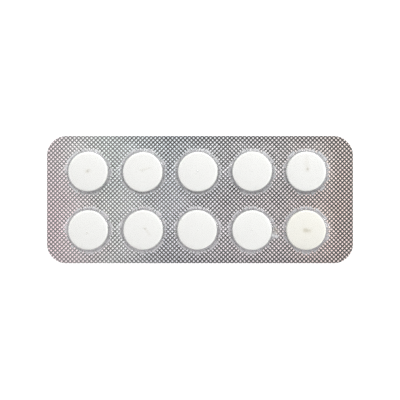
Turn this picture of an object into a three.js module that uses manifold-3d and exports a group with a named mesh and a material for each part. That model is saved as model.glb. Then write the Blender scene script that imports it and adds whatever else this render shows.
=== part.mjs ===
// A push-through blister card of round tablets, lying on its foil. A clear film is formed into
// two rows of round pockets, a tablet lies loose in each pocket, and an aluminium lidding foil,
// knurled by the sealing plate, closes the back.
// Millimetres. The origin is the middle of the foil's back, +X runs along the card, +Y across it
// and +Z up out of the pockets.

import * as THREE from "three";
import { mergeVertices } from "three/addons/utils/BufferGeometryUtils.js";
import Module from "manifold-3d";

// The card: how the pockets are laid out on it, and the widths of the flat lands round them
const POCKET_COLUMNS = 5;
const POCKET_ROWS = 2;
const COLUMN_LAND = 3;
const ROW_LAND = 4.2;
const LEFT_LAND = 5.95;
const RIGHT_LAND = 7.5;
const BACK_LAND = 4.15;
const FRONT_LAND = 3.35;
const CARD_CORNER_RADIUS = 6;

// The two webs, at their gauge before the film is formed
const FOIL_GAUGE = 0.03;
const FILM_GAUGE = 0.25;

// The knurl of the sealed area: rows of small pyramids along both diagonals of the card
const KNURL_PITCH = 0.93;
const KNURL_RELIEF = 0.12;
const KNURL_POCKET_MARGIN = 0.15;

// The tablet: flat faces with a bevel round each
const TABLET_DIAMETER = 12.2;
const TABLET_THICKNESS = 4;
const TABLET_BEVEL_WIDTH = 0.4;
const TABLET_BEVEL_HEIGHT = 0.25;

// The pocket, round the tablet. The film is thinner where it was drawn
const POCKET_GAUGE = 0.18;
const TABLET_SIDE_CLEARANCE = 0.28;
const TABLET_HEAD_CLEARANCE = 0.12;
const WALL_DRAFT_DEG = 4;
const POCKET_FOOT_RADIUS = 0.3;
const POCKET_SHOULDER_RADIUS = 0.9;
const POCKET_CROWN = 0.25;

// The vent nub that the mould leaves in the middle of each pocket
const NUB_RADIUS = 0.45;
const NUB_HEIGHT = 0.12;

// How far each tablet has slid from the middle of its pocket, as a share of the side clearance
const TABLET_SLIDES = [
  [-0.3, 0.1],
  [-0.2, -0.5],
  [0.4, -0.2],
  [0.1, 0.5],
  [-0.7, 0.2],
  [-0.2, 0.1],
  [0.3, 0.2],
  [-0.5, 0.4],
  [0.0, -0.1],
  [-0.8, 0.1],
];

// How finely the round parts are faceted
const POCKET_FACETS = 24;
const TABLET_FACETS = 30;
const CORNER_FACETS = 8;
const FOOT_FACETS = 2;
const SHOULDER_FACETS = 3;

const CLEAR_FILM = new THREE.MeshStandardMaterial({
  name: "clear_film",
  color: "#f2f5f6",
  roughness: 0.08,
  metalness: 0,
  transparent: true,
  opacity: 0.3,
});
const ALUMINIUM_FOIL = new THREE.MeshStandardMaterial({
  name: "aluminium_foil",
  color: "#b9b6b5",
  roughness: 0.35,
  metalness: 1,
});
const WHITE_TABLET = new THREE.MeshStandardMaterial({
  name: "white_tablet",
  color: "#f3f3f0",
  roughness: 0.85,
  metalness: 0,
});

const wasm = await Module();
wasm.setup();

// A closed geometry as a solid that can be joined and cut
function solidOf(geometry) {
  geometry.deleteAttribute("normal");
  geometry.deleteAttribute("uv");
  const merged = mergeVertices(geometry, 1e-5);
  return new wasm.Manifold(
    new wasm.Mesh({
      numProp: 3,
      vertProperties: merged.attributes.position.array,
      triVerts: new Uint32Array(merged.index.array),
    }),
  );
}

// A solid back as a geometry, flat on every facet
function geometryOf(solid) {
  const mesh = solid.getMesh();
  const shared = new THREE.BufferGeometry();
  shared.setAttribute("position", new THREE.BufferAttribute(mesh.vertProperties, mesh.numProp));
  shared.setIndex(new THREE.BufferAttribute(mesh.triVerts, 1));
  const flat = shared.toNonIndexed();
  flat.computeVertexNormals();
  return flat;
}

// A flat plate of an outline between two heights
function plate(outline, low, high, facets) {
  const geometry = new THREE.ExtrudeGeometry(outline, {
    depth: high - low,
    bevelEnabled: false,
    curveSegments: facets,
  });
  return geometry.translate(0, 0, low);
}

// A profile of [radius, height] points, listed from the bottom up, turned about +Z
function turned(profile, facets) {
  const points = profile.map(([radius, height]) => new THREE.Vector2(radius, height));
  return new THREE.LatheGeometry(points, facets).rotateX(Math.PI / 2);
}

// Points round a quarter arc, from one angle to another
function arcPoints(centreRadius, centreHeight, radius, from, to, facets) {
  return Array.from({ length: facets + 1 }, (_, i) => {
    const angle = from + ((to - from) * i) / facets;
    return [centreRadius + radius * Math.cos(angle), centreHeight + radius * Math.sin(angle)];
  });
}

// Heights through the card, from the foil's back upwards
const foilFace = FOIL_GAUGE;
const filmBack = foilFace + KNURL_RELIEF;
const filmFace = filmBack + FILM_GAUGE;
const tabletTop = foilFace + TABLET_THICKNESS;
const shoulderTop = tabletTop + TABLET_HEAD_CLEARANCE;
const pocketCeiling = shoulderTop + POCKET_CROWN;

// The pocket's inside widens downwards by its draft, and rounds out into its mouth
const draft = Math.tan(THREE.MathUtils.degToRad(WALL_DRAFT_DEG));
const insideRadius = (height) => {
  return TABLET_DIAMETER / 2 + TABLET_SIDE_CLEARANCE + (pocketCeiling - height) * draft;
};
const mouthRadius = insideRadius(filmBack + POCKET_FOOT_RADIUS) + POCKET_FOOT_RADIUS;

// The layout: pockets at even pitches, and the card round them
const columnPitch = 2 * mouthRadius + COLUMN_LAND;
const rowPitch = 2 * mouthRadius + ROW_LAND;
const cardLength = LEFT_LAND + 2 * mouthRadius + (POCKET_COLUMNS - 1) * columnPitch + RIGHT_LAND;
const cardWidth = FRONT_LAND + 2 * mouthRadius + (POCKET_ROWS - 1) * rowPitch + BACK_LAND;

// The centres of the pockets, row by row from the back, left to right
function pocketCentres() {
  const centres = [];
  for (let row = 0; row < POCKET_ROWS; row += 1) {
    for (let column = 0; column < POCKET_COLUMNS; column += 1) {
      centres.push([
        -cardLength / 2 + LEFT_LAND + mouthRadius + column * columnPitch,
        cardWidth / 2 - BACK_LAND - mouthRadius - row * rowPitch,
      ]);
    }
  }
  return centres;
}

// The card's outline, a rectangle with round corners
function cardOutline() {
  const x = cardLength / 2;
  const y = cardWidth / 2;
  const r = CARD_CORNER_RADIUS;
  const outline = new THREE.Shape();
  outline.absarc(x - r, y - r, r, 0, Math.PI / 2);
  outline.absarc(r - x, y - r, r, Math.PI / 2, Math.PI);
  outline.absarc(r - x, r - y, r, Math.PI, 1.5 * Math.PI);
  outline.absarc(x - r, r - y, r, 1.5 * Math.PI, 2 * Math.PI);
  return outline;
}

// The pocket's inside, with the film's back rounded into it and a dimple under the nub
function pocketInside() {
  const foot = POCKET_FOOT_RADIUS;
  const footHeight = filmBack + foot;
  const shoulder = POCKET_SHOULDER_RADIUS - POCKET_GAUGE;
  const shoulderHeight = shoulderTop - shoulder;
  const mouth = arcPoints(mouthRadius, footHeight, foot, -Math.PI / 2, -Math.PI, FOOT_FACETS);
  const round = arcPoints(
    insideRadius(shoulderHeight) - shoulder,
    shoulderHeight,
    shoulder,
    0,
    Math.PI / 2,
    SHOULDER_FACETS,
  );
  return turned(
    [[0, 0], [mouthRadius, 0], ...mouth, ...round, [0, pocketCeiling]],
    POCKET_FACETS,
  );
}

// The pocket's outside, with a fillet at its foot, a round shoulder, a low crown and the nub
function pocketOutside() {
  const foot = POCKET_FOOT_RADIUS;
  const footHeight = filmFace + foot;
  const footRadius = insideRadius(footHeight) + POCKET_GAUGE;
  const shoulder = POCKET_SHOULDER_RADIUS;
  const top = pocketCeiling + POCKET_GAUGE;
  const shoulderHeight = shoulderTop + POCKET_GAUGE - shoulder;
  const fillet = arcPoints(footRadius + foot, footHeight, foot, -Math.PI / 2, -Math.PI, FOOT_FACETS);
  const round = arcPoints(
    insideRadius(shoulderHeight) + POCKET_GAUGE - shoulder,
    shoulderHeight,
    shoulder,
    0,
    Math.PI / 2,
    SHOULDER_FACETS,
  );
  const filmMiddle = (filmBack + filmFace) / 2;
  return turned(
    [
      [0, filmMiddle],
      [footRadius + foot, filmMiddle],
      ...fillet,
      ...round,
      [NUB_RADIUS, top],
      [NUB_RADIUS / 2, top + NUB_HEIGHT],
      [0, top + NUB_HEIGHT],
    ],
    POCKET_FACETS,
  );
}

// The film in one piece: the flat web, with each pocket raised on it and opened from behind
function blisterFilm() {
  const outside = solidOf(pocketOutside());
  const inside = solidOf(pocketInside());
  let film = solidOf(plate(cardOutline(), filmBack, filmFace, CORNER_FACETS));
  for (const [x, y] of pocketCentres()) {
    film = film.add(outside.translate(x, y, 0)).subtract(inside.translate(x, y, 0));
  }
  return geometryOf(film);
}

// The knurl on its own: a square lattice of pyramids wherever the film is sealed to the foil. The
// lattice is turned 45 degrees, so points and valley crossings alternate along the card's own
// directions, and its pitch is stretched a hair to fill the card
function knurl() {
  const step = KNURL_PITCH / Math.SQRT2;
  const columns = Math.round(cardLength / step);
  const rows = Math.round(cardWidth / step);
  const smoothRadius = mouthRadius + KNURL_POCKET_MARGIN;
  const centres = pocketCentres();
  const place = ([column, row]) => [
    (column / columns - 0.5) * cardLength,
    (row / rows - 0.5) * cardWidth,
  ];
  const isPoint = ([column, row]) => {
    const [x, y] = place([column, row]);
    const isSealed = centres.every(([cx, cy]) => Math.hypot(x - cx, y - cy) > smoothRadius);
    return isSealed && (column + row) % 2 === 0;
  };
  const top = (node) => [...place(node), isPoint(node) ? filmBack : foilFace];
  const base = (node) => [...place(node), foilFace / 2];

  // A cell's corners in turn, starting with one that is low for certain, so that the cell is
  // folded along its valley
  const cornersOf = (column, row) => {
    const ring = [[column, row], [column + 1, row], [column + 1, row + 1], [column, row + 1]];
    return (column + row) % 2 === 0 ? [...ring.slice(1), ring[0]] : ring;
  };
  const isKnurled = (column, row) => {
    const isOnCard = column >= 0 && row >= 0 && column < columns && row < rows;
    return isOnCard && cornersOf(column, row).some(isPoint);
  };
  const triangles = [];
  const addQuad = (a, b, c, d) => triangles.push(a, b, c, a, c, d);
  const addCell = (column, row) => {
    const [a, b, c, d] = cornersOf(column, row);
    addQuad(top(a), top(b), top(c), top(d));
    addQuad(base(a), base(d), base(c), base(b));
    const sides = [
      { beside: [column, row - 1], from: [column, row], to: [column + 1, row] },
      { beside: [column + 1, row], from: [column + 1, row], to: [column + 1, row + 1] },
      { beside: [column, row + 1], from: [column + 1, row + 1], to: [column, row + 1] },
      { beside: [column - 1, row], from: [column, row + 1], to: [column, row] },
    ];
    for (const { beside, from, to } of sides) {
      if (!isKnurled(...beside)) {
        addQuad(base(from), base(to), top(to), top(from));
      }
    }
  };
  for (let row = 0; row < rows; row += 1) {
    for (let column = 0; column < columns; column += 1) {
      if (isKnurled(column, row)) {
        addCell(column, row);
      }
    }
  }
  const geometry = new THREE.BufferGeometry();
  geometry.setAttribute("position", new THREE.Float32BufferAttribute(triangles.flat(), 3));
  return geometry;
}

// The foil in one piece: a flat sheet with the knurl on it, cut to the card's outline
function liddingFoil() {
  const sheet = solidOf(plate(cardOutline(), 0, foilFace, CORNER_FACETS));
  const room = solidOf(plate(cardOutline(), foilFace / 4, filmFace, CORNER_FACETS));
  return geometryOf(solidOf(knurl()).intersect(room).add(sheet));
}

// A flat-faced tablet with bevelled edges, standing on z = 0
function tablet() {
  const radius = TABLET_DIAMETER / 2;
  const faceRadius = radius - TABLET_BEVEL_WIDTH;
  return turned(
    [
      [0, 0],
      [faceRadius, 0],
      [radius, TABLET_BEVEL_HEIGHT],
      [radius, TABLET_THICKNESS - TABLET_BEVEL_HEIGHT],
      [faceRadius, TABLET_THICKNESS],
      [0, TABLET_THICKNESS],
    ],
    TABLET_FACETS,
  );
}

function named(name, geometry, material) {
  const mesh = new THREE.Mesh(geometry, material);
  mesh.name = name;
  return mesh;
}

const card = new THREE.Group();
card.name = "blister_card";
card.add(named("lidding_foil", liddingFoil(), ALUMINIUM_FOIL));
card.add(named("blister_film", blisterFilm(), CLEAR_FILM));
pocketCentres().forEach(([x, y], i) => {
  const [slideX, slideY] = TABLET_SLIDES[i % TABLET_SLIDES.length];
  const mesh = named(`tablet_${i + 1}`, tablet(), WHITE_TABLET);
  mesh.position.set(x + slideX * TABLET_SIDE_CLEARANCE, y + slideY * TABLET_SIDE_CLEARANCE, foilFace);
  card.add(mesh);
});

export default card;
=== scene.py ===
"""A push-through blister card of round white tablets, lying on its foil on a plain pale floor.

The knurled foil, the clear formed film and the pressed tablets are made finely here, each in the
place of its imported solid. Sizes are in millimetres, and MM turns them to metres where a mesh is
made. X runs along the card, Y across it and Z up out of the pockets.
"""

import math

import bmesh
import bpy
import numpy as np
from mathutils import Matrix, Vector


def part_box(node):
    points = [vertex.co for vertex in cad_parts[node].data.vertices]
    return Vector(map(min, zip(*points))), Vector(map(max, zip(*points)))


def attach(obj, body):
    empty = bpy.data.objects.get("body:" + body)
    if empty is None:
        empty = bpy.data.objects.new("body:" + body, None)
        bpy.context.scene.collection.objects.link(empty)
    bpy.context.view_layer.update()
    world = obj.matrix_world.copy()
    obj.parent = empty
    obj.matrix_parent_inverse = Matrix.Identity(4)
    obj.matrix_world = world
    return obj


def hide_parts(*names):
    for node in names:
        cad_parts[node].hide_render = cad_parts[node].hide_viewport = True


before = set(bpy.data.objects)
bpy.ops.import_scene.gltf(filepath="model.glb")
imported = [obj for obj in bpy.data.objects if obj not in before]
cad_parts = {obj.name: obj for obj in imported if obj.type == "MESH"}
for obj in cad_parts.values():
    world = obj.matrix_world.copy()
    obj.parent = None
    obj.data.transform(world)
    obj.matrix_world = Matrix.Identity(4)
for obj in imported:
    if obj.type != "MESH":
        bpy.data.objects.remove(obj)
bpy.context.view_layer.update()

MM = 0.001
BODY = "root"

# The card, as large as its packed film
FILM_LOW, FILM_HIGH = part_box("blister_film")
CARD_LENGTH = (FILM_HIGH.x - FILM_LOW.x) / MM
CARD_WIDTH = (FILM_HIGH.y - FILM_LOW.y) / MM
CARD_CORNER_RADIUS = 6.0

# The two webs and the knurl that is pressed into the foil where it is sealed
FOIL_GAUGE = 0.03
FILM_GAUGE = 0.25
KNURL_PITCH = 0.93
KNURL_RELIEF = 0.12
KNURL_TOP = 0.53
SEAL_GAP = 0.02
KNURL_POCKET_MARGIN = 0.15

# The tablet
TABLET_RADIUS = 6.1
TABLET_THICKNESS = 4.0
TABLET_BEVEL_WIDTH = 0.4
TABLET_BEVEL_HEIGHT = 0.25
TABLET_EDGE_RADIUS = 0.12

# The pocket round the tablet
POCKET_COLUMNS = 5
POCKET_ROWS = 2
COLUMN_LAND = 3.0
ROW_LAND = 4.2
LEFT_LAND = 5.95
BACK_LAND = 4.15
POCKET_GAUGE = 0.18
TABLET_SIDE_CLEARANCE = 0.28
TABLET_HEAD_CLEARANCE = 0.12
WALL_DRAFT = math.tan(math.radians(4))
POCKET_FOOT_RADIUS = 0.3
POCKET_SHOULDER_RADIUS = 0.9
POCKET_CROWN = 0.25

# A pocket's vent nub, and where it sits from the pocket's middle, row by row from the back
NUB_WIDTH = 0.25
NUB_HEIGHT = 0.12
NUB_PLACES = [
    (0.1, 0.3), (0.0, 0.2), (0.0, 0.0), (0.1, 0.1), (0.3, 0.9),
    (-0.3, -0.8), (0.5, 0.6), (0.0, 0.1), (0.0, 0.0), (0.2, -0.2),
]
# Pimples and creases in the pockets' crowns: pocket, line from end to end
CREASES = [
    (1, (-0.6, 0.4), (2.8, 1.3)),
    (4, (0.1, 2.9), (0.4, 2.9)),
    (6, (0.8, 0.5), (2.2, -1.6)),
    (6, (1.2, 3.2), (1.4, 3.4)),
]
CREASE_WIDTH = 0.22
CREASE_HEIGHT = 0.07
# A kink in the film at one pocket's foot: pocket, place from its middle, width
KINK = (8, (7.2, -1.8), 0.45)
KINK_HEIGHT = 0.24
# Painted shade at the vent nubs, along the creases and by the kink, laid on the pockets' film as
# smears: pocket, line from end to end, half width, strength at its start
SHADE_SMEARS = [
    (0, (-0.3, 0.1), (0.3, 0.4), 0.5, 0.9),
    (1, (-0.6, 0.4), (2.8, 1.3), 0.3, 0.5),
    (4, (0.2, 0.8), (0.4, 0.7), 0.35, 0.8),
    (4, (0.2, 0.6), (-0.3, 4.6), 0.7, 0.35),
    (5, (-0.3, -0.8), (-0.2, -0.8), 0.3, 0.7),
    (6, (0.5, 0.6), (0.6, 0.6), 0.3, 0.8),
    (6, (0.8, 0.5), (2.2, -1.6), 0.3, 0.5),
    (8, (7.0, 0.3), (7.7, -0.6), 0.6, 1.3),
    (9, (-0.5, 0.0), (0.9, -0.2), 0.62, 1.4),
]
# Where a bend has turned the clear film milky, in the same terms
WHITENED = [
    (8, (6.5, -1.5), (7.9, -2.0), 0.4, 0.8),
]

# Heights through the card
FOIL_FACE = FOIL_GAUGE
FILM_BACK = FOIL_FACE + KNURL_RELIEF
FILM_FACE = FILM_BACK + FILM_GAUGE
SHOULDER_TOP = FOIL_FACE + TABLET_THICKNESS + TABLET_HEAD_CLEARANCE
POCKET_CEILING = SHOULDER_TOP + POCKET_CROWN

# How finely the surfaces are divided
SIDE_SPOKES = 24
CROWN_RINGS = 27
CROWN_CROWDING = 1.5
SHOULDER_RINGS = 7
WALL_RINGS = 4
FILLET_RINGS = 4
WEB_RINGS = 7
TABLET_SPOKES = 96
TABLET_EDGE_CHORDS = 3
CORNER_CHORDS = 24

# Points nearer than this, in metres, are one point
MERGE_DISTANCE = 1e-6
# Edges that turn by more than this, in degrees, stay sharp
SHARP_ANGLE = 50
KNURL_SHARP_ANGLE = 8


def inside_radius(height):
    """The pocket's inner radius at a height: the ceiling's, wider by the draft on the way down."""
    return TABLET_RADIUS + TABLET_SIDE_CLEARANCE + (POCKET_CEILING - height) * WALL_DRAFT


MOUTH_RADIUS = inside_radius(FILM_BACK + POCKET_FOOT_RADIUS) + POCKET_FOOT_RADIUS
COLUMN_PITCH = 2 * MOUTH_RADIUS + COLUMN_LAND
ROW_PITCH = 2 * MOUTH_RADIUS + ROW_LAND
POCKETS = [
    (
        -CARD_LENGTH / 2 + LEFT_LAND + MOUTH_RADIUS + column * COLUMN_PITCH,
        CARD_WIDTH / 2 - BACK_LAND - MOUTH_RADIUS - row * ROW_PITCH,
    )
    for row in range(POCKET_ROWS)
    for column in range(POCKET_COLUMNS)
]


def linear(hex_colour):
    """An sRGB hex colour as linear RGBA."""
    parts = [int(hex_colour[i : i + 2], 16) / 255 for i in (1, 3, 5)]
    return [p / 12.92 if p <= 0.04045 else ((p + 0.055) / 1.055) ** 2.4 for p in parts] + [1.0]


def add_node(tree, kind, inputs=None, **settings):
    """Add a node, with its settings, and set or link its input sockets by name or number."""
    node = tree.nodes.new(kind)
    for name, value in settings.items():
        setattr(node, name, value)
    for socket, value in (inputs or {}).items():
        if isinstance(value, bpy.types.NodeSocket):
            tree.links.new(value, node.inputs[socket])
        else:
            node.inputs[socket].default_value = value
    return node


def new_material(name):
    """An empty node material with its output, as the material, its tree and the output."""
    material = bpy.data.materials.new(name)
    material.use_nodes = True
    tree = material.node_tree
    tree.nodes.clear()
    return material, tree, add_node(tree, "ShaderNodeOutputMaterial")


def make_piece(
    name, points, faces, replaced, materials,
    face_materials=None, marks=None, sharp_angle=SHARP_ANGLE,
):
    """Make a closed mesh piece from points in millimetres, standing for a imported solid. Marks are
    named rows of numbers, one for each point."""
    mesh = bpy.data.meshes.new(name)
    mesh.from_pydata((np.asarray(points) * MM).tolist(), [], faces)
    if face_materials is not None:
        mesh.polygons.foreach_set("material_index", face_materials)
    for mark, strength in (marks or {}).items():
        mesh.attributes.new(mark, "FLOAT", "POINT").data.foreach_set("value", strength)
    whole = bmesh.new()
    whole.from_mesh(mesh)
    bmesh.ops.remove_doubles(whole, verts=whole.verts, dist=MERGE_DISTANCE)
    bmesh.ops.recalc_face_normals(whole, faces=whole.faces)
    whole.to_mesh(mesh)
    whole.free()
    mesh.shade_smooth()
    mesh.set_sharp_from_angle(angle=math.radians(sharp_angle))
    for material in materials:
        mesh.materials.append(material)
    piece = bpy.data.objects.new(name, mesh)
    bpy.context.scene.collection.objects.link(piece)
    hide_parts(replaced)
    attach(piece, BODY)


def round_corners(x, y):
    """Bend the corners of a rectangle round: in each corner's square of side R, a square shell at
    distance m from the arc's centre becomes an arc of radius m."""
    beyond_x = np.abs(x) - (CARD_LENGTH / 2 - CARD_CORNER_RADIUS)
    beyond_y = np.abs(y) - (CARD_WIDTH / 2 - CARD_CORNER_RADIUS)
    in_corner = (beyond_x > 0) & (beyond_y > 0)
    shell = np.maximum(beyond_x, beyond_y)
    # The arc's centre itself has no direction, and stays where it is
    from_centre = np.maximum(np.hypot(beyond_x, beyond_y), 1e-9)
    share = np.where(in_corner, shell / from_centre, 1)
    new_x = np.where(in_corner, np.sign(x) * (np.abs(x) - beyond_x + beyond_x * share), x)
    new_y = np.where(in_corner, np.sign(y) * (np.abs(y) - beyond_y + beyond_y * share), y)
    return new_x, new_y


# The knurl's lattice fills the card with a whole number of its half diagonals each way
KNURL_COLUMNS = round(CARD_LENGTH / (KNURL_PITCH / math.sqrt(2)))
KNURL_ROWS = round(CARD_WIDTH / (KNURL_PITCH / math.sqrt(2)))
# From a pyramid's middle to its four corners, in columns and rows
CORNER_STEPS = np.array([[1, 0], [0, 1], [-1, 0], [0, -1]])


def knurl_facets():
    """The knurl's facets, four corners each, as x, y and lift. A pyramid stands wherever column
    and row add up to an even number. Its corners are one column or row away, its flat top's
    corners a share of that. It is lifted by the knurl's relief, less a gap to the film, unless it
    lies under a pocket."""
    column, row = np.meshgrid(np.arange(KNURL_COLUMNS + 1), np.arange(KNURL_ROWS + 1))
    middle = np.stack([column, row], -1)[(column + row) % 2 == 0][:, None]
    size = np.array([CARD_LENGTH, CARD_WIDTH])
    cells = np.array([KNURL_COLUMNS, KNURL_ROWS])
    place = (middle[:, 0] / cells - 0.5) * size
    lifted = np.ones(len(place), bool)
    for pocket in POCKETS:
        lifted &= np.hypot(*(place - pocket).T) > MOUTH_RADIUS + KNURL_POCKET_MARGIN
    foot = ((middle + CORNER_STEPS) / cells - 0.5) * size
    foot = np.concatenate([foot, np.zeros_like(foot[..., :1])], -1)
    top = ((middle + KNURL_TOP * CORNER_STEPS) / cells - 0.5) * size
    lift = lifted[:, None, None] * (KNURL_RELIEF - SEAL_GAP)
    top = np.concatenate([top, np.broadcast_to(lift, top[..., :1].shape)], -1)
    slopes = [
        np.stack([foot[:, k - 1], foot[:, k], top[:, k], top[:, k - 1]], 1) for k in range(4)
    ]
    return np.concatenate([top] + slopes)


def card_borders():
    """Level normals and limits that bound the card's right back quarter: its two straight sides
    and the chords of its round corner."""
    half = np.array([CARD_LENGTH, CARD_WIDTH]) / 2
    step = math.pi / 2 / CORNER_CHORDS
    angle = (np.arange(CORNER_CHORDS) + 0.5) * step
    chords = np.stack([np.cos(angle), np.sin(angle)], 1)
    limits = chords @ (half - CARD_CORNER_RADIUS) + CARD_CORNER_RADIUS * math.cos(step / 2)
    return np.concatenate([np.eye(2), chords]), np.concatenate([half, limits])


def trim(polygon, normals, limits):
    """The part of a polygon of points that lies within every limit along its level normal, or
    none."""
    for normal, limit in zip(normals, limits):
        beyond = polygon[:, :2] @ normal - limit
        if beyond.max() <= 0:
            continue
        kept = []
        for i, point in enumerate(polygon):
            turn = (i + 1) % len(polygon)
            if beyond[i] <= 0:
                kept.append(point)
            if beyond[i] * beyond[turn] < 0:
                to_border = beyond[i] / (beyond[i] - beyond[turn])
                kept.append(point + (polygon[turn] - point) * to_border)
        polygon = np.array(kept)
        if len(polygon) < 3:
            return None
    return polygon


def make_foil(sealed, back, unsealed):
    """The foil: the knurl's facets, trimmed to the card, once as its face and once as its back a
    gauge below, with a rim along every edge that only one facet has. Its three materials are of
    its sealed face, its back and its unsealed face under the pockets."""
    facets = knurl_facets()
    normals, limits = card_borders()
    side = np.where(facets[..., :2].mean(1) < 0, -1, 1)
    beyond = (facets[..., :2] * side[:, None] @ normals.T - limits).max((1, 2)) > 0
    polygons = list(facets[~beyond])
    for facet, signs in zip(facets[beyond], side[beyond]):
        polygon = trim(facet, normals * signs, limits)
        if polygon is not None:
            polygons.append(polygon)
    # Polygons share their points, to a nanometre, so that two of them meet at each inner edge
    points, number = np.unique(
        np.round(np.concatenate(polygons), 6), axis=0, return_inverse=True
    )
    ends = np.cumsum([len(polygon) for polygon in polygons])[:-1]
    face = [part.tolist() for part in np.split(number.reshape(-1), ends)]
    count = len(points)
    below = [[count + corner for corner in reversed(part)] for part in face]
    edges = {(part[i - 1], part[i]) for part in face for i in range(len(part))}
    rim = [
        [end, start, count + start, count + end]
        for start, end in sorted(edges)
        if (end, start) not in edges
    ]
    faces = face + rim + below
    material_of = np.zeros(len(faces), np.int32)
    material_of[:len(face)] = [2 * (polygon[:, 2].max() == 0) for polygon in polygons]
    material_of[-len(below):] = 1
    make_piece(
        "knurled_foil", np.concatenate([points + [0, 0, FOIL_GAUGE], points]), faces,
        "lidding_foil", [sealed, back, unsealed], material_of, sharp_angle=KNURL_SHARP_ANGLE,
    )


def arc(centre_radius, centre_height, radius, start, end, count):
    """Points of a profile on an arc between two angles in degrees, both ends included."""
    angle = np.radians(np.linspace(start, end, count + 1))
    return np.stack(
        [centre_radius + radius * np.cos(angle), centre_height + radius * np.sin(angle)], 1
    )


def pocket_profile(gauge, web_height):
    """Radius and height from a pocket's middle out to its mouth, on the inner surface for no gauge
    and otherwise on the surface a gauge outside it: a low crown that falls with the square of the
    radius, a round shoulder, a straight drafted wall and a fillet onto the web."""
    shoulder = POCKET_SHOULDER_RADIUS - POCKET_GAUGE + gauge
    shoulder_height = SHOULDER_TOP + gauge - shoulder
    shoulder_radius = inside_radius(shoulder_height) + gauge - shoulder
    # Rings crowd towards the middle, where the vent nub is
    out = np.linspace(0, 1, CROWN_RINGS + 1)[:-1] ** CROWN_CROWDING
    crown_height = SHOULDER_TOP + gauge + POCKET_CROWN * (1 - out ** 2)
    crown = np.stack([shoulder_radius * out, crown_height], 1)
    round_part = arc(shoulder_radius, shoulder_height, shoulder, 90, 0, SHOULDER_RINGS)
    foot_height = web_height + POCKET_FOOT_RADIUS
    foot_radius = inside_radius(foot_height) + gauge + POCKET_FOOT_RADIUS
    fillet = arc(foot_radius, foot_height, POCKET_FOOT_RADIUS, 180, 270, FILLET_RINGS)
    share = np.linspace(0, 1, WALL_RINGS + 1)[1:-1, None]
    wall = round_part[-1] * (1 - share) + fillet[0] * share
    return np.concatenate([crown, round_part, wall, fillet])


def around_square(count):
    """Points round a square from -1 to 1, count to a side, anticlockwise from its lower right."""
    run = np.arange(count) / count * 2 - 1
    one = np.ones(count)
    return np.concatenate([
        np.stack([one, run], 1), np.stack([-run, one], 1),
        np.stack([-one, -run], 1), np.stack([run, -one], 1),
    ])


def bell(distance, width):
    """A bell-shaped fall from 1 at no distance: e to the minus square of distance over width."""
    return np.exp(-((distance / width) ** 2))


def from_line(x, y, start, end):
    """How far along a line places are, as a share of it, and how far away from it."""
    run = np.subtract(end, start)
    along = np.clip(((x - start[0]) * run[0] + (y - start[1]) * run[1]) / (run @ run), 0, 1)
    return along, np.hypot(x - start[0] - along * run[0], y - start[1] - along * run[1])


def crown_marks(index, x, y):
    """Lift of a pocket's crown at places from its middle: a bell-shaped vent nub, and a ridge of
    bell-shaped section along each crease, half as high at its far end and nowhere higher than
    the nub."""
    nub_x, nub_y = NUB_PLACES[index]
    lift = NUB_HEIGHT * bell(np.hypot(x - nub_x, y - nub_y), NUB_WIDTH)
    for pocket, start, end in CREASES:
        if pocket == index:
            along, away = from_line(x, y, start, end)
            lift += CREASE_HEIGHT * (1 - along / 2) * bell(away, CREASE_WIDTH)
    return np.minimum(lift, NUB_HEIGHT)


def mark_strength(marks, index, tile):
    """How strongly marks show at each point of one pocket's film, 0 where it is clear: bell-shaped
    across each mark and half as strong at its far end."""
    centre_x, centre_y = POCKETS[index]
    total = np.zeros(tile.shape[:2])
    for pocket, start, end, half_width, strength in marks:
        if pocket == index:
            along, away = from_line(tile[..., 0] - centre_x, tile[..., 1] - centre_y, start, end)
            total += strength * (1 - along / 2) * bell(away, half_width)
    return total.ravel()


def film_tile(index, gauge, web_height):
    """One pocket's share of the film's upper or lower surface, as rings of x, y and height: the
    pocket's profile turned about its middle out to the mouth, and from there straight to the edge
    of its rectangle of the card, lifted by the marks in its crown and the kink."""
    centre_x, centre_y = POCKETS[index]
    row, column = divmod(index, POCKET_COLUMNS)
    left = -CARD_LENGTH / 2 - centre_x if column == 0 else -COLUMN_PITCH / 2
    right = CARD_LENGTH / 2 - centre_x if column == POCKET_COLUMNS - 1 else COLUMN_PITCH / 2
    back = CARD_WIDTH / 2 - centre_y if row == 0 else ROW_PITCH / 2
    front = -CARD_WIDTH / 2 - centre_y if row == POCKET_ROWS - 1 else -ROW_PITCH / 2
    square = (around_square(SIDE_SPOKES) + 1) / 2
    edge = np.array([left, front]) + square * [right - left, back - front]
    direction = edge / np.hypot(edge[:, 0], edge[:, 1])[:, None]
    profile = pocket_profile(gauge, web_height)
    pocket = profile[:, 0, None, None] * direction
    share = np.linspace(0, 1, WEB_RINGS + 1)[1:, None, None]
    web = pocket[-1] * (1 - share) + edge * share
    flat = np.concatenate([pocket, web])
    height = np.concatenate([profile[:, 1], np.full(WEB_RINGS, web_height)])
    x, y = flat[..., 0], flat[..., 1]
    lift = np.where(height[:, None] >= SHOULDER_TOP, crown_marks(index, x, y), 0)
    kinked, (kink_x, kink_y), kink_width = KINK
    if index == kinked:
        lift = lift + KINK_HEIGHT * bell(np.hypot(x - kink_x, y - kink_y), kink_width)
    card_x, card_y = round_corners(x + centre_x, y + centre_y)
    return np.stack([card_x, card_y, height[:, None] + lift], -1)


def ring_faces(rings, spokes, first):
    """Faces between rings of points. The merge of its points closes the first ring to a pole."""
    ring = first + np.arange(rings - 1)[:, None] * spokes + np.arange(spokes)
    turn = first + np.arange(rings - 1)[:, None] * spokes + (np.arange(spokes) + 1) % spokes
    return np.stack([ring, ring + spokes, turn + spokes, turn], -1).reshape(-1, 4)


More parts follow.
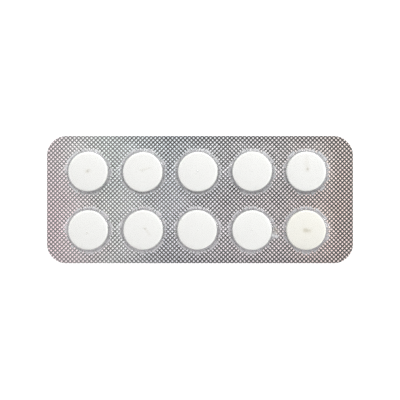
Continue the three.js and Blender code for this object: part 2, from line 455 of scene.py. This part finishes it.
def make_film(material):
    """The film: each pocket's upper and lower surface, and the cut edge between them."""
    points, faces, shade_smeared, whitened = [], [], [], []
    spokes = 4 * SIDE_SPOKES
    count = 0
    for index in range(len(POCKETS)):
        row, column = divmod(index, POCKET_COLUMNS)
        upper = film_tile(index, POCKET_GAUGE, FILM_FACE)
        lower = film_tile(index, 0, FILM_BACK)
        rings = len(upper)
        size = rings * spokes
        faces += ring_faces(rings, spokes, count).tolist()
        faces += ring_faces(rings, spokes, count + size)[:, ::-1].tolist()
        cut_sides = [
            column == POCKET_COLUMNS - 1, row == 0, column == 0, row == POCKET_ROWS - 1,
        ]
        spoke = np.flatnonzero(np.repeat(cut_sides, SIDE_SPOKES))
        outer = count + size - spokes + spoke
        outer_turn = count + size - spokes + (spoke + 1) % spokes
        faces += np.stack([outer, outer + size, outer_turn + size, outer_turn], 1).tolist()
        points += [upper.reshape(-1, 3), lower.reshape(-1, 3)]
        # How strongly the painted shade of the nubs, creases and kink lies at each point
        shade_smeared += [mark_strength(SHADE_SMEARS, index, tile) for tile in (upper, lower)]
        whitened += [mark_strength(WHITENED, index, tile) for tile in (upper, lower)]
        count += 2 * size
    make_piece(
        "formed_film", np.concatenate(points), faces, "blister_film", [material],
        marks={"shade_smear": np.concatenate(shade_smeared), "whitening": np.concatenate(whitened)},
    )


def tablet_profile():
    """Radius and height of a tablet from the middle of its lower face to the middle of its upper
    one, with each corner of the bevels rounded by a curve of the second degree."""
    face_radius = TABLET_RADIUS - TABLET_BEVEL_WIDTH
    corners = np.array([
        [0, 0],
        [face_radius, 0],
        [TABLET_RADIUS, TABLET_BEVEL_HEIGHT],
        [TABLET_RADIUS, TABLET_THICKNESS - TABLET_BEVEL_HEIGHT],
        [face_radius, TABLET_THICKNESS],
        [0, TABLET_THICKNESS],
    ])
    parts = [corners[:1], [[face_radius / 2, 0]]]
    for before, corner, after in zip(corners, corners[1:-1], corners[2:]):
        to_before = (before - corner) / np.linalg.norm(before - corner)
        to_after = (after - corner) / np.linalg.norm(after - corner)
        share = np.linspace(0, 1, TABLET_EDGE_CHORDS + 1)[:, None]
        start = corner + to_before * TABLET_EDGE_RADIUS
        end = corner + to_after * TABLET_EDGE_RADIUS
        parts.append(start * (1 - share) ** 2 + 2 * corner * share * (1 - share) + end * share**2)
    parts += [[[face_radius / 2, TABLET_THICKNESS]], corners[-1:]]
    return np.concatenate(parts)


def make_tablet(number, material):
    """A tablet: its profile turned about its axis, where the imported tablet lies."""
    low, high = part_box(f"tablet_{number}")
    centre = np.array([(low.x + high.x) / 2, (low.y + high.y) / 2, low.z]) / MM
    profile = tablet_profile()
    turn = np.linspace(0, 2 * np.pi, TABLET_SPOKES, endpoint=False)
    points = np.stack([
        profile[:, :1] * np.cos(turn),
        profile[:, :1] * np.sin(turn),
        profile[:, 1:] * np.ones_like(turn),
    ], -1).reshape(-1, 3) + centre
    faces = ring_faces(len(profile), TABLET_SPOKES, 0).tolist()
    make_piece(
        f"pressed_tablet_{number}", points, faces, f"tablet_{number}", [material]
    )


# The foil's tints from the card's left end to its right, and its roughness: sealed to the film, on
# its back and unsealed under the pockets. The sealed tints are painted reflection: the colours of
# the room that the bright metal would mirror.
SEALED_REFLECTION_TINTS = ["#e9dde0", "#e8edeb", "#dfe4e8", "#e7e7e9", "#e9e5e5", "#efe3dc"]
SEALED_ROUGHNESS = 0.08
BACK_TINTS = ["#e6e6e7", "#e4e4e5"]
BACK_ROUGHNESS = 0.3
# The unsealed tints are painted shade: darker than the sealed metal for the shade round each tablet
# in its pocket, and darker still towards the card's right end, where less light falls
UNSEALED_SHADE_TINTS = ["#cbccce", "#babbbe"]
UNSEALED_ROUGHNESS = 0.42
# What the tint is multiplied by at the card's front edge, fading to nothing at its back edge
WARM_CAST = "#fff9fb"
# Clouds of 25 mm, counted by the metre, and how far in metres they bend the tints' borders
FOIL_CLOUDS = 40.0
CLOUD_BEND = 0.01
# Rolling lines of 0.125 mm, counted by the metre. Real ones are finer and would not show.
ROLLING_LINES = 8000.0
LINE_STRETCH = 0.05
# Between these strengths of a line the foil's roughness goes from the first change to the second
LINE_CONTRAST = (0.3, 0.7)
LINE_ROUGHNESS = (-0.02, 0.03)
LINE_BUMP = 0.06
LINE_DEPTH = 0.01


def foil_material(name, colours, roughness):
    """Hard-temper aluminium foil: a bright metal that the rolls leave with fine lines along the
    web, and whose colour drifts slowly from one end to the other: painted reflection on the sealed
    face and painted shade on the unsealed face."""
    material, tree, output = new_material(name)
    place = add_node(tree, "ShaderNodeTexCoord").outputs["Object"]
    along = add_node(tree, "ShaderNodeSeparateXYZ", {0: place})
    # The painted tint drifts over the card's length, and clouds bend its borders
    clouds = add_node(
        tree, "ShaderNodeTexNoise", {"Vector": place, "Scale": FOIL_CLOUDS, "Detail": 2.0}
    )
    drift = add_node(
        tree, "ShaderNodeMath", {0: clouds.outputs["Fac"], 1: 2 * CLOUD_BEND, 2: -CLOUD_BEND},
        operation="MULTIPLY_ADD",
    )
    bent = add_node(tree, "ShaderNodeMath", {0: along.outputs["X"], 1: drift.outputs[0]})
    length = add_node(
        tree, "ShaderNodeMapRange",
        {0: bent.outputs[0], 1: -CARD_LENGTH / 2 * MM, 2: CARD_LENGTH / 2 * MM},
    )
    tint = add_node(tree, "ShaderNodeValToRGB", {0: length.outputs[0]})
    ramp = tint.color_ramp
    while len(ramp.elements) < len(colours):
        ramp.elements.new(0.5)
    for i, colour in enumerate(colours):
        ramp.elements[i].position = i / (len(colours) - 1)
        ramp.elements[i].color = linear(colour)
    # A slightly warmer cast towards the front
    front = add_node(
        tree, "ShaderNodeMapRange",
        {0: along.outputs["Y"], 1: CARD_WIDTH / 2 * MM, 2: -CARD_WIDTH / 2 * MM},
    )
    cast = add_node(
        tree, "ShaderNodeMix",
        {0: front.outputs[0], 6: tint.outputs["Color"], 7: linear(WARM_CAST)},
        data_type="RGBA", blend_type="MULTIPLY",
    )
    # Rolling lines, drawn out along the web, make the shine uneven across them
    stretched = add_node(
        tree, "ShaderNodeMapping", {"Vector": place, "Scale": (LINE_STRETCH, 1.0, 1.0)}
    )
    lines = add_node(
        tree, "ShaderNodeTexNoise",
        {"Vector": stretched.outputs[0], "Scale": ROLLING_LINES, "Detail": 3.0},
    )
    rough = add_node(
        tree, "ShaderNodeMapRange",
        {
            0: lines.outputs["Fac"], 1: LINE_CONTRAST[0], 2: LINE_CONTRAST[1],
            3: roughness + LINE_ROUGHNESS[0], 4: roughness + LINE_ROUGHNESS[1],
        },
    )
    bump = add_node(
        tree, "ShaderNodeBump",
        {"Strength": LINE_BUMP, "Distance": LINE_DEPTH * MM, "Height": lines.outputs["Fac"]},
    )
    metal = add_node(
        tree, "ShaderNodeBsdfPrincipled",
        {
            "Base Color": cast.outputs[2],
            "Metallic": 1.0,
            "Roughness": rough.outputs[0],
            "Normal": bump.outputs[0],
        },
    )
    tree.links.new(metal.outputs[0], output.inputs["Surface"])
    return material


# Mottle of 1.4 mm and grains of 0.15 mm in the pressed powder, counted by the metre
POWDER_MOTTLE = 700.0
POWDER_GRAINS = 6500.0
GRAIN_BUMP = 0.35
GRAIN_DEPTH = 0.02
POWDER_ROUGHNESS = 0.75
POWDER_SPECULAR = 0.3


def tablet_material(name, pale, shade):
    """Pressed powder: a chalky white that scatters light, hardly glossy, with fine grains."""
    material, tree, output = new_material(name)
    place = add_node(tree, "ShaderNodeTexCoord").outputs["Object"]
    mottle = add_node(
        tree, "ShaderNodeTexNoise", {"Vector": place, "Scale": POWDER_MOTTLE, "Detail": 3.0}
    )
    colour = add_node(
        tree, "ShaderNodeMix", {0: mottle.outputs["Fac"], 6: linear(pale), 7: linear(shade)},
        data_type="RGBA",
    )
    grains = add_node(
        tree, "ShaderNodeTexNoise", {"Vector": place, "Scale": POWDER_GRAINS, "Detail": 2.0}
    )
    bump = add_node(
        tree, "ShaderNodeBump",
        {"Strength": GRAIN_BUMP, "Distance": GRAIN_DEPTH * MM, "Height": grains.outputs["Fac"]},
    )
    powder = add_node(
        tree, "ShaderNodeBsdfPrincipled",
        {
            "Base Color": colour.outputs[2],
            "Roughness": POWDER_ROUGHNESS,
            "Specular IOR Level": POWDER_SPECULAR,
            "Normal": bump.outputs[0],
        },
    )
    tree.links.new(powder.outputs[0], output.inputs["Surface"])
    return material


# Ripples of 3 mm in the drawn film, counted by the metre
FILM_RIPPLES = 350.0
RIPPLE_BUMP = 0.2
RIPPLE_DEPTH = 0.05
# The share of light that the film mirrors head on, as PVC does
HEAD_ON_MIRROR = 0.04
# Its haze head on, and what is added where the eye looks along it
HAZE = 0.005
HAZE_ALONG = 0.3
# The share of light that passes head on, and what a slant takes from it
HEAD_ON_PASSED = 0.985
LOST_BY_SLANT = 0.4
# The roughness of its gloss, and what the painted shade smears add to it
FILM_ROUGHNESS = 0.1
SHADE_SMEAR_ROUGHNESS = 0.35
# The slightly warm grey that the painted shade multiplies into what lies under the film
SHADE_SMEAR_TINT = "#f7f6f3"


def film_material():
    """Clear hard PVC film: it lets light straight through and mirrors some of it, little head on
    and most at a glancing angle, as clear plastic does."""
    material, tree, output = new_material("clear PVC film")
    place = add_node(tree, "ShaderNodeTexCoord").outputs["Object"]
    ripple = add_node(
        tree, "ShaderNodeTexNoise", {"Vector": place, "Scale": FILM_RIPPLES, "Detail": 2.0}
    )
    bump = add_node(
        tree, "ShaderNodeBump",
        {"Strength": RIPPLE_BUMP, "Distance": RIPPLE_DEPTH * MM, "Height": ripple.outputs["Fac"]},
    )
    slant = add_node(tree, "ShaderNodeLayerWeight", {"Blend": 0.5})
    fifth = add_node(
        tree, "ShaderNodeMath", {0: slant.outputs["Facing"], 1: 5.0}, operation="POWER"
    )
    fresnel = add_node(
        tree, "ShaderNodeMath", {0: fifth.outputs[0], 1: 1 - HEAD_ON_MIRROR, 2: HEAD_ON_MIRROR},
        operation="MULTIPLY_ADD",
    )
    # Light mirrors where it enters the film and passes straight on where it leaves
    leaving = add_node(tree, "ShaderNodeNewGeometry").outputs["Backfacing"]
    entering = add_node(tree, "ShaderNodeMath", {0: 1.0, 1: leaving}, operation="SUBTRACT")
    mirrored = add_node(
        tree, "ShaderNodeMath", {0: fresnel.outputs[0], 1: entering.outputs[0]},
        operation="MULTIPLY",
    )
    # Seen along a wall, the eye looks through more film, and its faint haze adds up
    depth = add_node(
        tree, "ShaderNodeMath", {0: slant.outputs["Facing"], 1: 3.0}, operation="POWER"
    )
    hazed = add_node(
        tree, "ShaderNodeMath", {0: depth.outputs[0], 1: HAZE_ALONG, 2: HAZE},
        operation="MULTIPLY_ADD",
    )
    # Light that crosses a slanted film is bent aside, so slopes and walls look darker
    passed = add_node(
        tree, "ShaderNodeMath", {0: slant.outputs["Facing"], 1: -LOST_BY_SLANT, 2: HEAD_ON_PASSED},
        operation="MULTIPLY_ADD",
    )
    # Painted shade at the vent nubs, creases and kink dims what lies under the film and warms it a
    # little
    shade_smeared = add_node(tree, "ShaderNodeAttribute", attribute_name="shade_smear")
    through = add_node(
        tree, "ShaderNodeMix",
        {0: shade_smeared.outputs["Fac"], 6: passed.outputs[0], 7: linear(SHADE_SMEAR_TINT)},
        data_type="RGBA", blend_type="MULTIPLY",
    )
    # A sharp bend turns the film milky
    whitened = add_node(tree, "ShaderNodeAttribute", attribute_name="whitening")
    milky = add_node(
        tree, "ShaderNodeMath", {0: hazed.outputs[0], 1: whitened.outputs["Fac"]}, use_clamp=True
    )
    clear = add_node(tree, "ShaderNodeBsdfTransparent", {"Color": through.outputs[2]})
    haze = add_node(tree, "ShaderNodeBsdfDiffuse", {"Color": linear("#f2f4f6")})
    body = add_node(
        tree, "ShaderNodeMixShader", {0: milky.outputs[0], 1: clear.outputs[0], 2: haze.outputs[0]}
    )
    dulled = add_node(
        tree, "ShaderNodeMath",
        {0: shade_smeared.outputs["Fac"], 1: SHADE_SMEAR_ROUGHNESS, 2: FILM_ROUGHNESS},
        operation="MULTIPLY_ADD",
    )
    gloss = add_node(
        tree, "ShaderNodeBsdfGlossy",
        {"Color": linear("#ffffff"), "Roughness": dulled.outputs[0], "Normal": bump.outputs[0]},
    )
    film = add_node(
        tree, "ShaderNodeMixShader",
        {0: mirrored.outputs[0], 1: body.outputs[0], 2: gloss.outputs[0]},
    )
    tree.links.new(film.outputs[0], output.inputs["Surface"])
    return material


# The table reaches this far each way, in metres, and lies this far under the foil, in millimetres
TABLE_REACH = 4.0
TABLE_DROP = 0.02
# What it adds to its shaded paint to look white
TABLE_GLOW = 0.6


def table_material():
    """A matt white table that looks white to the eye and still takes the card's shadow."""
    material, tree, output = new_material("matt white table")
    path = add_node(tree, "ShaderNodeLightPath")
    either = add_node(
        tree, "ShaderNodeMath",
        {0: path.outputs["Is Camera Ray"], 1: path.outputs["Is Glossy Ray"]}, operation="MAXIMUM",
    )
    seen = add_node(
        tree, "ShaderNodeMath", {0: either.outputs[0], 1: path.outputs["Is Transmission Ray"]},
        operation="MAXIMUM",
    )
    plain = add_node(tree, "ShaderNodeBsdfDiffuse", {"Color": linear("#e8e8e8")})
    shaded = add_node(tree, "ShaderNodeBsdfDiffuse", {"Color": linear("#bcbcbc")})
    glow = add_node(
        tree, "ShaderNodeEmission", {"Color": linear("#ffffff"), "Strength": TABLE_GLOW}
    )
    white = add_node(tree, "ShaderNodeAddShader", {0: shaded.outputs[0], 1: glow.outputs[0]})
    table = add_node(
        tree, "ShaderNodeMixShader", {0: seen.outputs[0], 1: plain.outputs[0], 2: white.outputs[0]}
    )
    tree.links.new(table.outputs[0], output.inputs["Surface"])
    return material


def make_table():
    """The table: a flat square just under the foil."""
    corners = [
        (side_x * TABLE_REACH, side_y * TABLE_REACH, -TABLE_DROP * MM)
        for side_x, side_y in [(-1, -1), (1, -1), (1, 1), (-1, 1)]
    ]
    mesh = bpy.data.meshes.new("table")
    mesh.from_pydata(corners, [], [(0, 1, 2, 3)])
    mesh.materials.append(table_material())
    table = bpy.data.objects.new("table", mesh)
    bpy.context.scene.collection.objects.link(table)


def add_lamp(name, place, size, radiance):
    """A square soft lamp at a place in metres, turned to the card, with its power worked out from
    how bright its face is: power is radiance times area times pi."""
    data = bpy.data.lights.new(name, "AREA")
    data.shape = "SQUARE"
    data.size = size
    data.energy = radiance * size * size * math.pi
    lamp = bpy.data.objects.new(name, data)
    lamp.location = place
    lamp.rotation_mode = "QUATERNION"
    lamp.rotation_quaternion = (-lamp.location).to_track_quat("-Z", "Y")
    bpy.context.scene.collection.objects.link(lamp)


# How bright the room is straight above, in a ring round there, in a band under the ring, and on
# its walls
OVERHEAD_BRIGHTNESS = 1.58
RING_BRIGHTNESS = 3.1
BAND_BRIGHTNESS = 0.04
WALL_BRIGHTNESS = 3.2
# The heights, as a direction's Z, between which each part of the room fades into the next
WALL_TO_BAND = (0.25, 0.45)
BAND_TO_RING = (0.80, 0.90)
RING_TO_OVERHEAD = (0.93, 0.97)
# How much brighter the ceiling gets towards the back, for a whole step of direction
BACK_GAIN = 0.8

# Soft lamps: name, place and width in metres, and how bright the lamp's face is
LAMPS = [
    ("key lamp", (0.12, 0.56, 0.62), 0.44, 5.4),
    ("right lamp", (0.60, 0.20, 0.27), 0.26, 8.0),
    ("left back lamp", (-0.125, 0.083, 0.10), 0.05, 0.66),
    ("left front lamp", (-0.125, -0.083, 0.10), 0.05, 0.66),
]


def light_studio():
    """A room with a bright ceiling, brightest in a ring round its middle and towards the back, a
    dim band under it and bright walls. A soft lamp stands at the back and one at the right, and
    two small ones hang beyond the card's left end."""
    world = bpy.data.worlds.new("pale room")
    world.use_nodes = True
    tree = world.node_tree
    tree.nodes.clear()
    direction = add_node(tree, "ShaderNodeTexCoord").outputs["Generated"]
    part = add_node(tree, "ShaderNodeSeparateXYZ", {0: direction})
    overhead = add_node(
        tree, "ShaderNodeMapRange",
        {
            0: part.outputs["Z"], 1: BAND_TO_RING[0], 2: BAND_TO_RING[1],
            3: BAND_BRIGHTNESS, 4: RING_BRIGHTNESS,
        },
        interpolation_type="SMOOTHSTEP",
    )
    straight_up = add_node(
        tree, "ShaderNodeMapRange",
        {
            0: part.outputs["Z"], 1: RING_TO_OVERHEAD[0], 2: RING_TO_OVERHEAD[1],
            3: 0.0, 4: RING_BRIGHTNESS - OVERHEAD_BRIGHTNESS,
        },
        interpolation_type="SMOOTHSTEP",
    )
    ceiling = add_node(
        tree, "ShaderNodeMath", {0: overhead.outputs[0], 1: straight_up.outputs[0]},
        operation="SUBTRACT",
    )
    walls = add_node(
        tree, "ShaderNodeMapRange",
        {
            0: part.outputs["Z"], 1: WALL_TO_BAND[0], 2: WALL_TO_BAND[1],
            3: WALL_BRIGHTNESS, 4: 0.0,
        },
        interpolation_type="SMOOTHSTEP",
    )
    backwards = add_node(
        tree, "ShaderNodeMath", {0: part.outputs["Y"], 1: BACK_GAIN, 2: 1.0},
        operation="MULTIPLY_ADD",
    )
    slanted = add_node(
        tree, "ShaderNodeMath", {0: ceiling.outputs[0], 1: backwards.outputs[0]},
        operation="MULTIPLY",
    )
    strength = add_node(tree, "ShaderNodeMath", {0: slanted.outputs[0], 1: walls.outputs[0]})
    room = add_node(tree, "ShaderNodeBackground", {"Strength": strength.outputs[0]})
    add_node(tree, "ShaderNodeOutputWorld", {"Surface": room.outputs[0]})
    bpy.context.scene.world = world
    for lamp in LAMPS:
        add_lamp(*lamp)


# The photograph's width in pixels, the card's length there and the row that its middle lies on
PHOTO_WIDTH = 400
CARD_SPAN = 306
CARD_MIDDLE_ROW = 199.6
# The camera's sensor in millimetres, and its height in metres
SENSOR = 36.0
CAMERA_HEIGHT = 1.1


def place_camera():
    """A long lens straight above the card, far enough that the pockets' walls hardly show."""
    data = bpy.data.cameras.new("camera")
    data.sensor_width = SENSOR
    camera = bpy.data.objects.new("camera", data)
    pixel = CARD_LENGTH * MM / CARD_SPAN
    data.lens = SENSOR * CAMERA_HEIGHT / (PHOTO_WIDTH * pixel)
    camera.location = (0.0, (CARD_MIDDLE_ROW - PHOTO_WIDTH / 2) * pixel, CAMERA_HEIGHT)
    bpy.context.scene.collection.objects.link(camera)
    bpy.context.scene.camera = camera


place_camera()
light_studio()
make_table()
make_foil(
    foil_material("hard-temper aluminium foil, knurled", SEALED_REFLECTION_TINTS, SEALED_ROUGHNESS),
    foil_material("hard-temper aluminium foil, back", BACK_TINTS, BACK_ROUGHNESS),
    foil_material("hard-temper aluminium foil, unsealed", UNSEALED_SHADE_TINTS, UNSEALED_ROUGHNESS),
)
make_film(film_material())
fresh_powder = tablet_material("pressed white powder", "#f8f8f6", "#f4f4f1")
aged_powder = tablet_material("pressed white powder, yellowed", "#f8f7f0", "#f5f3ea")
for tablet in range(1, len(POCKETS) + 1):
    make_tablet(tablet, aged_powder if tablet == len(POCKETS) else fresh_powder)

bpy.context.scene.view_settings.view_transform = "Standard"
